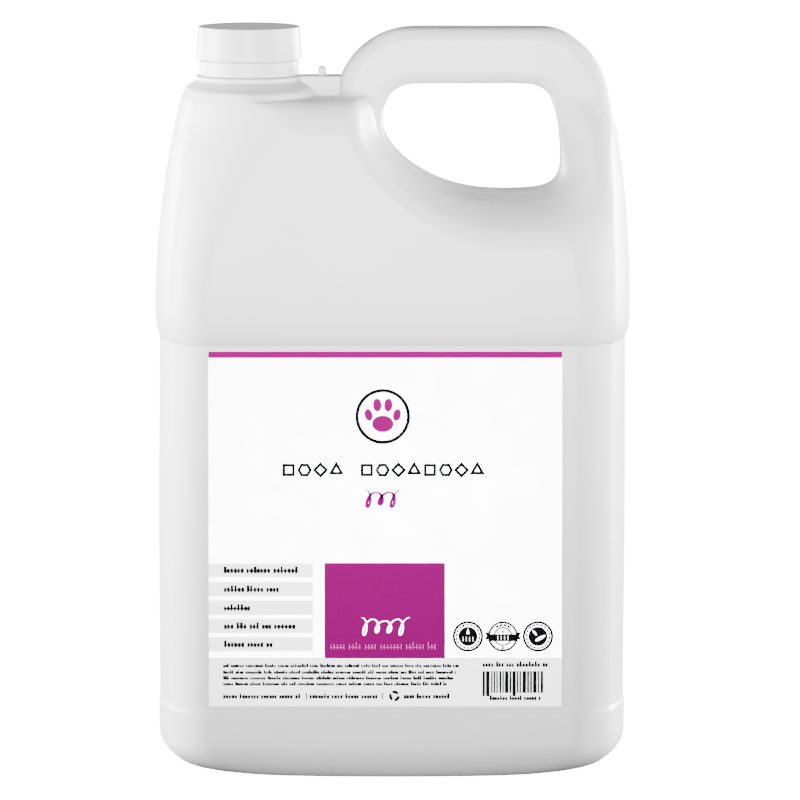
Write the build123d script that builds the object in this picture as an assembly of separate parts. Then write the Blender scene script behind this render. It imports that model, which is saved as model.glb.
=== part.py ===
from build123d import *

import os

# One-gallon jug for pet shampoo: a hollow blow-moulded bottle with an integral handle,
# a 38 mm screw cap with its liner, a tamper-evident band and a front label.
#
# Frame: +Z up, +X towards the handle, -Y towards the label. The origin is the middle of the
# body's plan, on the surface that the jug stands on. Millimetres.

# Blow-moulded wall
WALL = 0.8

# Body sections: height, left edge, right edge, half depth, bulge of the left side, of the
# right side, and of the front and back, corner radius. The last value says how many steps
# lead up to the section: 1 is a straight run, more is a smooth curve.
SECTIONS = [
    (0.0, -72.0, 71.4, 38.4, 11.0, 11.0, 6.5, 22.0, 0),
    (1.6, -81.2, 80.6, 43.2, 10.8, 10.8, 4.4, 22.0, 4),
    (5.5, -88.0, 87.4, 46.8, 10.2, 10.2, 2.2, 18.0, 3),
    (11.0, -92.3, 91.6, 48.7, 9.7, 9.7, 0.7, 14.0, 3),
    (17.5, -93.6, 92.9, 49.2, 9.5, 9.5, 0.01, 12.0, 2),
    (26.5, -93.6, 92.9, 49.2, 9.5, 9.5, 0.01, 12.0, 1),
    (28.5, -93.3, 92.5, 48.0, 9.5, 9.5, 0.0, 11.0, 1),
    (100.0, -93.5, 93.0, 48.0, 9.5, 9.5, 0.0, 11.0, 1),
    (173.3, -93.0, 93.0, 48.0, 9.5, 9.5, 0.0, 11.0, 1),
    (174.9, -93.7, 93.8, 49.0, 9.5, 9.5, 0.01, 11.5, 2),
    (179.2, -94.5, 94.6, 49.8, 9.5, 9.5, 0.01, 12.0, 2),
    (185.0, -94.75, 94.75, 50.1, 9.5, 9.5, 0.01, 12.0, 2),
    (206.0, -93.9, 94.3, 48.9, 10.0, 9.8, 0.01, 13.0, 3),
    (226.0, -91.9, 93.1, 47.2, 12.0, 10.5, 0.01, 15.0, 3),
    (244.0, -89.3, 90.9, 45.5, 16.0, 12.0, 0.01, 18.0, 3),
    (258.0, -86.5, 88.7, 44.0, 19.5, 13.5, 0.01, 20.0, 3),
    (265.0, -84.8, 87.0, 43.2, 20.0, 14.0, 0.01, 20.5, 2),
    (267.8, -83.5, 85.6, 42.0, 20.5, 14.5, 0.01, 21.0, 2),
    (268.8, -81.0, 83.0, 39.5, 21.0, 15.0, 0.01, 21.5, 2),
]

# Shallow dome pushed up into the base
PUSH_UP_SIZE = (122.0, 54.0)
PUSH_UP_RISE = 3.2
PUSH_UP_CROWN = (94.0, 34.0)

# Raised oval platform that the neck stands on
NECK_X = -57.1
PLATFORM = [
    (248.0, 20.0, 34.0),
    (264.0, 26.9, 42.0),
    (271.0, 26.3, 41.8),
    (271.9, 25.5, 41.1),
]
BEAD_TOP = 276.4
BEAD_RADIUS = 21.2
CONE_TOP = 274.5

# Handle: a slab on the mid-plane with an open grip
HANDLE_HALF = 12.5
HANDLE_TOP = 295.6
HANDLE_FOOT = 224.0
HANDLE_EDGE = 5.5
GRIP_EDGE = 4.0
GRIP = [
    (8.0, 273.0),
    (31.0, 273.2),
    (54.5, 273.0),
    (60.5, 271.2),
    (64.2, 267.0),
    (66.4, 261.0),
    (67.5, 253.0),
    (67.9, 245.0),
    (67.3, 238.0),
    (64.5, 233.4),
    (58.5, 230.9),
    (46.0, 230.0),
    (34.2, 230.5),
    (25.8, 232.0),
    (17.4, 234.8),
    (9.0, 239.4),
    (3.0, 244.2),
    (-1.2, 249.2),
    (-3.4, 254.2),
    (-4.0, 259.0),
    (-3.2, 264.6),
    (-0.2, 269.2),
    (3.4, 272.0),
]

# Scoop beside the handle, front and back: the same curve on the handle's face and at the
# body's face, joined by straight rulings
SCOOP_OUTER_Y = 46.0
SCOOP_REACH_Y = 62.0
SCOOP_INNER = [
    (-9.5, 292.0),
    (-9.0, 272.0),
    (-8.5, 262.0),
    (-7.3, 252.0),
    (-3.5, 245.0),
    (4.0, 238.0),
    (14.0, 231.8),
    (25.0, 228.0),
    (38.0, 226.3),
    (52.0, 226.2),
    (60.0, 227.3),
    (66.0, 230.5),
    (70.5, 237.0),
    (73.0, 246.0),
    (78.5, 256.0),
    (88.0, 261.5),
    (99.0, 262.5),
]
SCOOP_OUTER = [
    (-19.5, 292.0),
    (-19.0, 272.0),
    (-17.6, 262.0),
    (-13.5, 251.5),
    (-5.0, 241.5),
    (3.3, 233.5),
    (11.0, 228.2),
    (19.3, 223.6),
    (35.3, 218.4),
    (50.0, 217.3),
    (59.3, 217.3),
    (70.0, 217.3),
    (78.0, 217.9),
    (84.5, 220.5),
    (89.5, 227.0),
    (93.5, 236.5),
    (99.0, 245.0),
]

# Outer outline of the handle, from its left foot over the top to its right foot
HANDLE_LEFT = -20.8
HANDLE_LEFT_TOP = 276.0
HANDLE_FLAT = (9.0, 61.0)
HANDLE_RIGHT = [
    (61.0, 295.6),
    (65.2, 294.7),
    (71.5, 291.6),
    (78.6, 285.4),
    (83.0, 278.7),
    (85.6, 272.0),
    (87.4, 264.0),
    (87.6, 258.0),
]

# Neck finish for a 38 mm closure, six threads to the inch
BORE_RADIUS = 15.5
NECK_RADIUS = 17.6
NECK_RIM = 293.0
THREAD_PITCH = 4.233
THREAD_RADIUS = 18.7
THREAD_START = 284.9
THREAD_TURNS = 1.25
THREAD_ROOT_HALF = 1.2
THREAD_CREST_HALF = 0.6
LOCK_BEAD = (279.6, 281.4, 18.7)

# Screw cap
CAP_FOOT = 283.1
CAP_TOP = 295.9
CAP_FOOT_RADIUS = 21.1
CAP_TOP_RADIUS = 20.35
CAP_TOP_CHAMFER = 0.2
CAP_BORE = 19.1
CAP_PLATE = 1.6
CAP_THREAD_RADIUS = 18.0

# Foam liner in the cap
LINER_RADIUS = 18.8
LINER_FOOT = 293.0
LINER_TOP = 294.25

# Tamper-evident band
BAND_FOOT = 276.8
BAND_TOP = 282.4
BAND_RADIUS = 19.8
BAND_BORE = 18.95
BAND_LUG = (277.3, 279.1, 18.15)
BAND_LUGS = 12
NIB_COUNT = 8
NIB_SIZE = (1.1, 0.6, 0.35)

# Front label
LABEL_MIDDLE = (-2.8, 100.35)
LABEL_SIZE = (139.6, 141.5)
LABEL_CORNER = 1.0
LABEL_THICK = 0.12
PANEL_Y = -48.0

# Web between the neck and the handle, with its moulded lug
WEB_HALF = 4.5
WEB_TOP = 276.4
LUG_X = -28.0
LUG_WIDTH = 3.1
LUG_TOP = 279.9


def plan(station, inset):
    """The body's plan at one station, drawn in by the wall for the inside form."""
    z, left, right, depth, left_bulge, right_bulge, front, corner = station
    left, right, depth = left + inset, right - inset, depth - inset
    middle = (left + right) / 2
    x0, x1, y1 = left + left_bulge, right - right_bulge, depth - front
    if front > 0:
        face = ThreePointArc((x0, -y1), (middle, -depth), (x1, -y1))
        back = ThreePointArc((x1, y1), (middle, depth), (x0, y1))
    else:
        face = Line((x0, -y1), (x1, -y1))
        back = Line((x1, y1), (x0, y1))
    right_side = ThreePointArc((x1, -y1), (right, 0), (x1, y1))
    left_side = ThreePointArc((x0, y1), (left, 0), (x0, -y1))
    sketch = make_face([face, right_side, back, left_side])
    return Pos(0, 0, z) * fillet(sketch.vertices(), corner - inset)


def stations(inset):
    """Every section of the body, with the curved runs filled in."""
    rows = [row[:-1] for row in SECTIONS]
    filled = [rows[0]]
    for i in range(1, len(rows)):
        steps = SECTIONS[i][-1]
        before, after = rows[max(i - 2, 0)], rows[min(i + 1, len(rows) - 1)]
        for k in range(1, steps + 1):
            filled.append(blend(before, rows[i - 1], rows[i], after, k / steps))
    return [lifted(row, inset) for row in filled]


def lifted(row, inset):
    """A section's height moved in by the wall near the base and the crown."""
    low, high = SECTIONS[0][0], SECTIONS[-1][0]
    share = (row[0] - low) / (high - low)
    return (row[0] + inset * (1 - 2 * share),) + tuple(row[1:])


def blend(p0, p1, p2, p3, t):
    """Point at t on the cubic from p1 to p2 that leans on the sections beyond them."""
    span = p2[0] - p1[0]
    z = p1[0] + t * span
    point = [z]
    for a, b, c, d in zip(p0[1:], p1[1:], p2[1:], p3[1:]):
        chord = (c - b) / span
        start = limited((b - a) / max(p1[0] - p0[0], 0.1), chord) * span
        end = limited((d - c) / max(p3[0] - p2[0], 0.1), chord) * span
        point.append(
            (2 * t**3 - 3 * t**2 + 1) * b
            + (t**3 - 2 * t**2 + t) * start
            + (3 * t**2 - 2 * t**3) * c
            + (t**3 - t**2) * end
        )
    return tuple(point)


def limited(slope, chord):
    """Mean of two slopes, or none where the curve turns back, so that it never overshoots."""
    if slope * chord <= 0:
        return 0.0
    return 2 * slope * chord / (slope + chord)


def body(inset):
    """The body without its handle, on the outside (inset 0) or inside of the wall."""
    form = loft([plan(s, inset) for s in stations(inset)], ruled=True)
    return form - push_up(inset)


def push_up(inset):
    """The dome under the base, thickened by the wall for the inside form."""
    width, depth = PUSH_UP_SIZE
    foot = Ellipse(width / 2 + inset, depth / 2 + inset)
    crown = Ellipse(PUSH_UP_CROWN[0] / 2, PUSH_UP_CROWN[1] / 2)
    rise = PUSH_UP_RISE + inset
    return loft([foot, Pos(0, 0, rise) * crown])


def platform(inset):
    """Raised oval that the neck stands on, and the cone up to the neck's support bead."""
    ovals = [Pos(0, 0, z) * Ellipse(x - inset, y - inset) for z, x, y in PLATFORM[:-1]]
    z, x, y = PLATFORM[-1]
    ovals.append(Pos(0, 0, z - inset) * Ellipse(x - inset, y - inset))
    ovals.append(Pos(0, 0, CONE_TOP - inset) * Circle(BEAD_RADIUS - 1 - inset))
    return Pos(NECK_X, 0, 0) * loft(ovals, ruled=True)


def scoop(inset):
    """Cutter for the front scoop; mirror it for the back."""
    y0 = HANDLE_HALF - inset
    near = grow(SCOOP_INNER, 1.25 * inset)
    far = grow(SCOOP_OUTER, 1.25 * inset)
    reach = (SCOOP_REACH_Y - HANDLE_HALF) / (SCOOP_OUTER_Y - HANDLE_HALF)
    start = [(a[0], a[1]) for a in near]
    end = [
        (a[0] + reach * (b[0] - a[0]), a[1] + reach * (b[1] - a[1]))
        for a, b in zip(near, far)
    ]
    return loft([outline(start, -y0), outline(end, -SCOOP_REACH_Y)], ruled=True)


def grow(points, amount):
    """Open run of points moved out by amount, to the right of its direction of travel."""
    if amount == 0:
        return points
    moved = []
    for i, (x, z) in enumerate(points):
        before = points[max(i - 1, 0)]
        after = points[min(i + 1, len(points) - 1)]
        dx, dz = after[0] - before[0], after[1] - before[1]
        length = (dx * dx + dz * dz) ** 0.5
        moved.append((x + amount * dz / length, z - amount * dx / length))
    return moved


def outline(points, y):
    """Closed face on the plane at y: a spline through the points, closed far above."""
    run = [(x, y, z) for x, z in points]
    right = (130, y, points[-1][1])
    edges = [
        Spline(run),
        Line(run[-1], right),
        Line(right, (130, y, 340)),
        Line((130, y, 340), (run[0][0], y, 340)),
        Line((run[0][0], y, 340), run[0]),
    ]
    return make_face(edges)


def handle(inset):
    """The handle's slab with its rounded edges and its grip opening."""
    half = HANDLE_HALF - inset
    top = HANDLE_TOP - inset
    left = HANDLE_LEFT + inset
    right = grow(HANDLE_RIGHT, inset)
    flat = HANDLE_FLAT[0]
    foot = HANDLE_FOOT
    arch = ThreePointArc(
        (left, 0, HANDLE_LEFT_TOP), (left + 9.4, 0, top - 7.2), (flat, 0, top)
    )
    edges = [
        Line((left, 0, foot), (left, 0, HANDLE_LEFT_TOP)),
        arch,
        Line((flat, 0, top), (right[0][0], 0, right[0][1])),
        Spline([(x, 0, z) for x, z in right]),
        Line((right[-1][0], 0, right[-1][1]), (right[-1][0], 0, foot)),
        Line((right[-1][0], 0, foot), (left, 0, foot)),
    ]
    slab = extrude(make_face(edges), amount=half, both=True)
    rims = [e for e in slab.edges() if e.center().Z > foot + 1 and abs(e.center().Y) > half - 0.1]
    slab = fillet(rims, HANDLE_EDGE - inset)
    slab = slab - grip(inset)
    holes = [e for e in slab.edges() if on_grip(e, half)]
    return fillet(holes, GRIP_EDGE + inset / 2)


def grip(inset):
    """Cutter for the opening that the fingers pass through."""
    points = grow(GRIP + GRIP[:1], -inset)[:-1]
    loop = Spline([(x, 0, z) for x, z in points], periodic=True)
    return extrude(make_face(loop), amount=80, both=True)


def on_grip(edge, half):
    """Whether an edge is the grip's rim on one face of the slab."""
    box = edge.bounding_box()
    flat = abs(box.max.Y - box.min.Y) < 0.01 and abs(abs(box.max.Y) - half) < 0.01
    return flat and edge.is_closed


def turned(points):
    """Solid turned about the neck's axis from a closed run of (radius, height) points."""
    corners = [(r, 0, z) for r, z in points]
    face = make_face(Polyline(corners + corners[:1]))
    return Pos(NECK_X, 0, 0) * revolve(face, Axis.Z)


def neck():
    """Support bead, neck wall and locking bead; the bore is cut with the inside form."""
    low, high, bead = LOCK_BEAD
    return turned(
        [
            (0, 266.0),
            (BEAD_RADIUS - 3, 268.0),
            (BEAD_RADIUS - 1, CONE_TOP),
            (BEAD_RADIUS, CONE_TOP + 0.5),
            (BEAD_RADIUS, BEAD_TOP - 0.5),
            (BEAD_RADIUS - 0.5, BEAD_TOP),
            (NECK_RADIUS, BEAD_TOP),
            (NECK_RADIUS, low),
            (bead, low + 0.2),
            (bead, low + 0.7),
            (NECK_RADIUS, high),
            (NECK_RADIUS, NECK_RIM - 0.4),
            (NECK_RADIUS - 0.4, NECK_RIM),
            (0, NECK_RIM),
        ]
    )


def bore():
    """Inside of the neck, opening into the body through the platform's cone."""
    low = CONE_TOP - WALL
    return turned(
        [
            (0, 266.0),
            (BEAD_RADIUS - 1 - WALL, 266.0),
            (BEAD_RADIUS - 1 - WALL, low),
            (BORE_RADIUS, low + 2.6),
            (BORE_RADIUS, NECK_RIM + 5),
            (0, NECK_RIM + 5),
        ]
    )


def thread(root, crest, start_angle):
    """Right-hand ridge between two radii, on the pitch shared by the neck and the cap."""
    rise = THREAD_PITCH * THREAD_TURNS
    path = Helix(pitch=THREAD_PITCH, height=rise, radius=(root + crest) / 2)
    ridge = make_face(
        Polyline(
            (root, 0, -THREAD_ROOT_HALF),
            (crest, 0, -THREAD_CREST_HALF),
            (crest, 0, THREAD_CREST_HALF),
            (root, 0, THREAD_ROOT_HALF),
            (root, 0, -THREAD_ROOT_HALF),
        )
    )
    swept = sweep(ridge, path=path, is_frenet=True)
    return Pos(NECK_X, 0, THREAD_START) * Rot(0, 0, start_angle) * swept


def web():
    """Pinched web from the neck to the handle, with its lug."""
    left = NECK_X + BAND_RADIUS + 0.6
    width = HANDLE_LEFT + 3 - left
    foot = 255.0
    block = Box(width, 2 * WEB_HALF, WEB_TOP - foot)
    block = Pos(left + width / 2, 0, (WEB_TOP + foot) / 2) * block
    top = [e for e in block.edges() if e.center().Z > WEB_TOP - 0.1 and abs(e.center().Y) > 1]
    block = fillet(top, 2.5)
    lug = Box(LUG_WIDTH, 6.0, LUG_TOP - WEB_TOP + 2)
    lug = Pos(LUG_X, 0, (LUG_TOP + WEB_TOP - 2) / 2) * lug
    crown = [e for e in lug.edges() if e.center().Z > LUG_TOP - 0.1]
    return block + fillet(crown, 1.0)


def form(inset):
    """Body, platform and handle as one solid, outside or inside of the wall."""
    front = scoop(inset)
    shell = body(inset) + platform(inset)
    shell = shell - front - mirror(front, Plane.XZ)
    return shell - grip(inset) + handle(inset)


def bottle():
    """The whole blow moulding."""
    solid = form(0.0) + web() + neck()
    solid = solid - form(WALL) - bore()
    return solid + thread(NECK_RADIUS - 0.4, THREAD_RADIUS, 0)


def screw_cap():
    """Smooth skirt and plate with the internal thread."""
    under = CAP_TOP - CAP_PLATE
    shell = turned(
        [
            (CAP_BORE, CAP_FOOT),
            (CAP_FOOT_RADIUS, CAP_FOOT),
            (CAP_TOP_RADIUS, CAP_TOP - CAP_TOP_CHAMFER),
            (CAP_TOP_RADIUS - CAP_TOP_CHAMFER, CAP_TOP),
            (0, CAP_TOP),
            (0, under),
            (CAP_BORE, under),
        ]
    )
    return shell + thread(CAP_BORE + 0.4, CAP_THREAD_RADIUS, 180)


def cap_liner():
    """Foam disc that seals on the neck's rim."""
    return turned(
        [
            (0, LINER_FOOT),
            (LINER_RADIUS, LINER_FOOT),
            (LINER_RADIUS, LINER_TOP),
            (0, LINER_TOP),
        ]
    )


def tamper_band():
    """Ring with catch lugs under the locking bead and the stubs of its bridges on top."""
    ring = turned(
        [
            (BAND_BORE, BAND_FOOT),
            (BAND_RADIUS, BAND_FOOT),
            (BAND_RADIUS, BAND_TOP),
            (BAND_BORE, BAND_TOP),
        ]
    )
    low, high, radius = BAND_LUG
    face = make_face(
        Polyline(
            (BAND_BORE + 0.3, 0, low),
            (radius + 0.3, 0, low + 0.8),
            (radius, 0, high),
            (BAND_BORE + 0.3, 0, high),
            (BAND_BORE + 0.3, 0, low),
        )
    )
    lug = revolve(face, Axis.Z, revolution_arc=14)
    for i in range(BAND_LUGS):
        ring = ring + Pos(NECK_X, 0, 0) * Rot(0, 0, 360 * i / BAND_LUGS) * lug
    length, width, rise = NIB_SIZE
    nib = Pos((BAND_BORE + BAND_RADIUS) / 2, 0, BAND_TOP + rise / 2 - 0.1)
    nib = nib * Box(width, length, rise + 0.2)
    for i in range(NIB_COUNT):
        ring = ring + Pos(NECK_X, 0, 0) * Rot(0, 0, 360 * (i + 0.5) / NIB_COUNT) * nib
    return ring


def front_label():
    """Film on the flat front panel."""
    x, z = LABEL_MIDDLE
    film = Box(LABEL_SIZE[0], LABEL_THICK, LABEL_SIZE[1])
    film = fillet(film.edges().filter_by(Axis.Y), LABEL_CORNER)
    return Pos(x, PANEL_Y - LABEL_THICK / 2, z) * film


os.makedirs("parts", exist_ok=True)
export_step(bottle(), "parts/bottle.step")
export_step(screw_cap(), "parts/screw_cap.step")
export_step(cap_liner(), "parts/cap_liner.step")
export_step(tamper_band(), "parts/tamper_band.step")
export_step(front_label(), "parts/front_label.step")
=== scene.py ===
"""White one-gallon shampoo jug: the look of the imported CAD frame.

The bottle is one closed mesh. Rings make its lower body, a level set makes the shoulder,
scoops and handle, and a turned profile makes the neck and the inside. The other CAD nodes
keep their shapes, and the label carries thin pieces of printed ink. All lengths in the
tables are millimetres in the CAD frame, and meshes become metres when they are made.
"""

import math
import random

import bpy
import numpy as np
import openvdb
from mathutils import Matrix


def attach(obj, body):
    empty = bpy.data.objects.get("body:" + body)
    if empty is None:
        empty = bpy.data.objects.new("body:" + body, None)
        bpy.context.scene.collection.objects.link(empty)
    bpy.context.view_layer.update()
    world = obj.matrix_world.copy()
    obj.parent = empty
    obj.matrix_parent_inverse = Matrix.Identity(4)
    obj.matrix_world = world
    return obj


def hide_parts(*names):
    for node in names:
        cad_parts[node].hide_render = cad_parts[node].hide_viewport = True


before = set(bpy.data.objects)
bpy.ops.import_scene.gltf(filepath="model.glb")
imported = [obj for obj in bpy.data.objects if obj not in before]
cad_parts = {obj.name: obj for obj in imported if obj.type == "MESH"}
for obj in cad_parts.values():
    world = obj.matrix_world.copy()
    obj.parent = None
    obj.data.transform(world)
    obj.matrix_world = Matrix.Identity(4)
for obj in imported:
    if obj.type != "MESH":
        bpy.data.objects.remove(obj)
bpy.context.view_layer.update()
MM = 0.001

# ---------------- bottle dimensions

# Height, left edge, right edge, half depth, bulge of the left side, bulge of the right
# side, corner radius
SIDE_ROWS = [
    (14.5, -93.6, 92.9, 49.2, 9.5, 9.5, 12.0),
    (25.6, -93.6, 92.9, 49.2, 9.5, 9.5, 12.0),
    (26.5, -93.57, 92.85, 49.12, 9.5, 9.5, 12.0),
    (27.2, -93.5, 92.75, 48.85, 9.5, 9.5, 11.8),
    (27.8, -93.4, 92.62, 48.4, 9.5, 9.5, 11.4),
    (28.3, -93.32, 92.53, 48.08, 9.5, 9.5, 11.1),
    (28.8, -93.3, 92.5, 48.0, 9.5, 9.5, 11.0),
    (100.0, -93.5, 93.0, 48.0, 9.5, 9.5, 11.0),
    (172.9, -93.0, 93.0, 48.0, 9.5, 9.5, 11.0),
    (173.3, -93.02, 93.02, 48.03, 9.5, 9.5, 11.0),
    (173.8, -93.3, 93.4, 48.35, 9.5, 9.5, 11.1),
    (174.7, -93.65, 93.8, 48.85, 9.5, 9.5, 11.4),
    (176.5, -94.15, 94.3, 49.4, 9.5, 9.5, 11.8),
    (179.8, -94.6, 94.75, 49.85, 9.5, 9.5, 12.0),
    (185.0, -94.75, 94.75, 50.1, 9.5, 9.5, 12.0),
    (195.0, -94.5, 94.65, 49.7, 9.7, 9.6, 12.4),
    (206.0, -93.9, 94.3, 48.9, 10.0, 9.8, 13.0),
    (226.0, -91.9, 93.1, 47.2, 12.0, 10.5, 15.0),
    (244.0, -89.3, 90.9, 45.5, 16.0, 12.0, 18.0),
    (258.0, -86.5, 88.7, 44.0, 19.5, 13.5, 20.0),
    (266.0, -84.6, 86.8, 43.1, 20.0, 14.0, 20.5),
    (274.0, -82.4, 84.6, 42.2, 20.5, 14.5, 21.0),
]
# The heel: its height, and how much the plan changes from its top down to the floor
HEEL_HEIGHT = 14.5
HEEL_INSET_X, HEEL_INSET_Y = 25.0, 9.0
HEEL_BULGE, HEEL_CORNER = 9.0, 10.0
SEAM_HEIGHT = 210.0  # rings below, level set above

NECK_X = -57.1
ROOF_HEIGHT = 268.8
OVAL_X, OVAL_Y, OVAL_HEIGHT = 26.0, 37.5, 271.5
CONE_HEIGHT, CONE_RADIUS = 274.5, 21.2
CONE_COSINE = 0.95  # of its mean slope
PLATFORM_FADE = 252.0  # below this the platform is lost in the body
PLATFORM_SINK = 2.0  # how far under the body's skin it is by then
PLATFORM_SLOPE = 0.16  # how far its sides spread for each millimetre down
COLLAR_RADIUS, NECK_FOOT_RADIUS = 22.4, 21.8
COLLAR_FLOOR = 262.0  # above this the level set is open inside the collar

# Rounding of an edge on the left, what is added on the right, and the X between which it
# grows: the roof's edge, the scoops' outer edge, and their inner edge in shares of its width
ROOF_ROLL, ROOF_ROLL_GAIN, ROOF_ROLL_SPAN = 2.0, 14.0, (-56.0, -30.0)
SCOOP_EDGE, SCOOP_EDGE_GAIN, SCOOP_EDGE_SPAN = 4.5, 5.0, (66.0, 84.0)
SCOOP_SOFT, SCOOP_SOFT_GAIN, SCOOP_SOFT_SPAN = 0.1, 0.3, (62.0, 82.0)
SCOOP_EASE = 0.45  # how much steeper the scoops start at the inner edge than a straight slope

# Widths over which neighbouring parts of the form run into each other
OVAL_BLEND, PLATFORM_BLEND, ROOF_BLEND = 1.4, 1.8, 1.5
SCOOP_ROUND, GRIP_BLEND, HANDLE_BLEND = 3.0, 1.0, 2.0

HANDLE_HALF, HANDLE_ROUND = 12.5, 5.5
GRIP = [
    (8.0, 273.4), (31.0, 273.6), (54.0, 273.4), (60.0, 271.4), (63.6, 267.0),
    (65.6, 261.0), (66.8, 253.0), (67.3, 245.0), (66.8, 238.2), (64.0, 233.5),
    (58.3, 231.1), (46.0, 230.2), (34.2, 230.7), (25.8, 232.2), (17.4, 235.0),
    (9.0, 239.6), (3.0, 244.3), (-1.4, 249.4), (-3.8, 254.4), (-4.4, 259.0),
    (-3.6, 264.6), (-0.6, 269.4), (3.2, 272.3),
]
HANDLE = [
    (-20.8, 224.0), (-20.8, 250.0), (-20.8, 268.0), (-20.8, 274.6), (-19.2, 279.0),
    (-15.4, 284.6), (-10.4, 289.2), (-4.2, 292.9), (2.5, 295.0), (9.0, 295.6),
    (35.0, 295.6), (58.0, 295.6), (62.5, 295.4), (67.5, 293.9), (71.5, 291.6),
    (75.6, 288.4), (79.0, 284.9), (82.6, 279.2), (85.2, 273.0), (86.9, 266.0),
    (88.0, 258.0), (88.4, 250.0), (88.0, 236.0), (86.0, 224.0), (30.0, 224.0),
]
SCOOP_INNER = [
    (-9.5, 292.0), (-8.8, 272.0), (-7.8, 262.0), (-6.2, 254.0), (-2.6, 248.4),
    (2.6, 244.0), (9.0, 239.6), (17.5, 235.2), (25.9, 232.4), (34.2, 230.9),
    (46.0, 230.4), (58.4, 231.3), (64.6, 233.8), (69.2, 239.6), (73.0, 248.0),
    (78.5, 256.0), (88.0, 261.5), (99.0, 262.5),
]
SCOOP_OUTER = [
    (-17.5, 292.0), (-17.0, 272.0), (-15.8, 262.0), (-12.3, 251.5), (-4.6, 241.0),
    (3.5, 233.3), (11.0, 228.2), (19.3, 223.6), (35.3, 218.4), (50.0, 217.3),
    (59.3, 217.3), (70.0, 217.3), (80.0, 217.6), (88.0, 219.8), (94.0, 226.0),
    (98.5, 236.0), (103.0, 246.0),
]
SCOOP_DEPTH = 33.5
# The web from neck to handle and its lug: centre, half sizes, rounding
WEB = ((-27.4, 0.0, 272.2), (9.6, 6.0, 4.2), 0.8)
LUG = ((-28.0, 0.0, 275.4), (1.55, 3.0, 4.5), 1.2)

# Neck: radius and height up the outside, over the rim and down the bore
NECK_OUTSIDE = [
    (20.95, 274.65), (21.12, 274.8), (21.2, 275.1), (21.2, 275.8), (21.08, 276.18),
    (20.75, 276.38), (18.3, 276.44), (17.75, 276.6), (17.6, 277.0), (17.6, 279.3),
    (17.72, 279.55), (18.45, 279.64), (18.68, 279.85), (18.7, 280.25), (18.5, 280.6),
    (17.75, 281.5), (17.6, 281.8), (17.6, 282.9),
]
NECK_RIM = [
    (17.6, 292.3), (17.5, 292.72), (17.2, 292.96), (16.8, 293.0), (15.95, 293.0),
    (15.6, 292.88), (15.5, 292.55), (15.5, 287.0), (15.5, 281.0), (15.5, 276.6),
    (15.9, 275.0), (17.4, 273.0), (19.0, 271.6),
]
THREAD_LOW, THREAD_HIGH, THREAD_ROWS = 283.2, 291.7, 30
THREAD_ROOT, THREAD_CREST = 17.6, 18.7
THREAD_START, THREAD_PITCH, THREAD_TURNS = 284.9, 4.233, 1.25
THREAD_HALF, THREAD_FLANK = 1.2, 0.6  # half width at the root, and the part that slopes
THREAD_FADE = 0.5  # radians over which each end runs out

# Heights of the rings inside, and how far they stay under the outer skin
CAVITY = [
    270.6, 270.0, 268.6, 266.0, 262.0, 256.0, 250.0, 244.0, 239.0, 235.0, 232.0, 230.4,
    229.4, 228.9, 228.6, 228.3, 226.0, 223.5, 221.0, 219.0, 217.5, 216.6, 216.1, 215.8,
    213.5, 210.0, 200.0, 190.0, 182.0, 176.0, 172.0, 150.0, 100.0, 50.0,
    29.0, 27.0, 18.0, 12.0, 8.0, 5.0, 3.2, 2.2,
]
WALL = 1.4
# Share of the lowest ring and height: the floor inside, and the base with its push-up
CAVITY_FLOOR = [(0.85, 1.6), (0.7, 3.4), (0.5, 4.3), (0.25, 4.4)]
BASE_RINGS = [
    (0.985, 0.0), (0.95, 0.0), (0.9, 0.05), (0.85, 0.35), (0.8, 1.0), (0.74, 1.9),
    (0.67, 2.7), (0.58, 3.1), (0.46, 3.2), (0.3, 3.2), (0.14, 3.2),
]

# Mesh density: columns round the body and the neck, and the level set's step
COLUMNS, NECK_COLUMNS = 360, 160
GRID_STEP, QUICK_GRID_STEP = 1.2, 1.9
GRID_CORNER, GRID_SPAN = (-98.0, -54.0), (196.0, 108.0, 94.0)
GRID_UNDER = 5  # layers below the seam
FIELD_LIMIT = 4.0


# ---------------- small numeric helpers

def smooth_max(a, b, k):
    """Largest of two fields, rounded over a width k."""
    h = np.maximum(k - np.abs(a - b), 0.0) / k
    return np.maximum(a, b) + h * h * k * 0.25


def smooth_min(a, b, k):
    """Smallest of two fields, rounded over a width k."""
    return -smooth_max(-a, -b, k)


def round_corner(a, b, radius):
    """Both fields at once, with the edge where they meet rounded to a radius."""
    reach = np.hypot(np.maximum(a + radius, 0.0), np.maximum(b + radius, 0.0))
    return reach + np.minimum(np.maximum(a, b), -radius)


def smooth_step(low, high, x):
    """0 below low and 1 above high."""
    t = np.clip((x - low) / (high - low), 0.0, 1.0)
    return t * t * (3.0 - 2.0 * t)


def hermite(t, a, b, slope_a, slope_b):
    """A cubic from a to b with a slope at each end."""
    rise = 3 * t**2 - 2 * t**3
    return (1 - rise) * a + (t**3 - 2 * t**2 + t) * slope_a + rise * b + (t**3 - t**2) * slope_b


class Table:
    """Columns of values over a height, joined by monotone cubics."""

    def __init__(self, rows):
        data = np.array(rows, dtype=float)
        self.x, self.y = data[:, 0], data[:, 1:]
        step = np.diff(self.x)[:, None]
        slope = np.diff(self.y, axis=0) / step
        same = slope[:-1] * slope[1:] > 0
        total = np.where(same, slope[:-1] + slope[1:], 1.0)
        middle = np.where(same, 2 * slope[:-1] * slope[1:] / total, 0.0)
        self.slope = np.vstack([slope[:1], middle, slope[-1:]])

    def __call__(self, x):
        x = np.clip(x, self.x[0], self.x[-1])
        i = np.clip(np.searchsorted(self.x, x) - 1, 0, len(self.x) - 2)
        step = (self.x[i + 1] - self.x[i])[..., None]
        t = (x - self.x[i])[..., None] / step
        slopes = step * self.slope[i], step * self.slope[i + 1]
        return np.moveaxis(hermite(t, self.y[i], self.y[i + 1], *slopes), -1, 0)


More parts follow.
